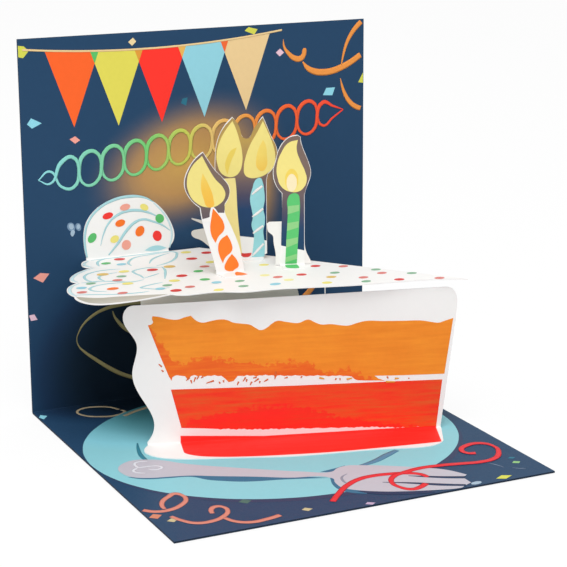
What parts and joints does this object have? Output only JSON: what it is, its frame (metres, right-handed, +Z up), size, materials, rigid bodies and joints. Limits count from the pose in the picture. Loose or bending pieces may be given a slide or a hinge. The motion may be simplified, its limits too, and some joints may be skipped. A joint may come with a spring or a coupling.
{
  "type": "pop-up card",
  "caption": "Open pop-up birthday card: a slice of cake with candles and frosting stands on a folded square cover.",
  "frame": {"origin": "centre of the bounding box at the underside of the lower leaf", "axes": "+X along the spine to the reader's right, +Y from the lower leaf's free edge to the rear leaf, +Z up"},
  "size_m": [0.133, 0.1336, 0.1336],
  "materials": {
    "cover_board": "smooth printed card, navy",
    "printed_sheet": "smooth printed card, white ground",
    "plain_sheet": "smooth plain white card"
  },
  "bodies": {
    "root": {"cover": "cover_board", "cake_front": "printed_sheet", "cake_top": "printed_sheet", "platform": "plain_sheet", "tie_strip": "plain_sheet", "candle_orange": "printed_sheet", "candle_pair": "printed_sheet", "candle_green": "printed_sheet", "stay_left": "plain_sheet", "stay_right": "plain_sheet"}
  },
  "joints": []
}
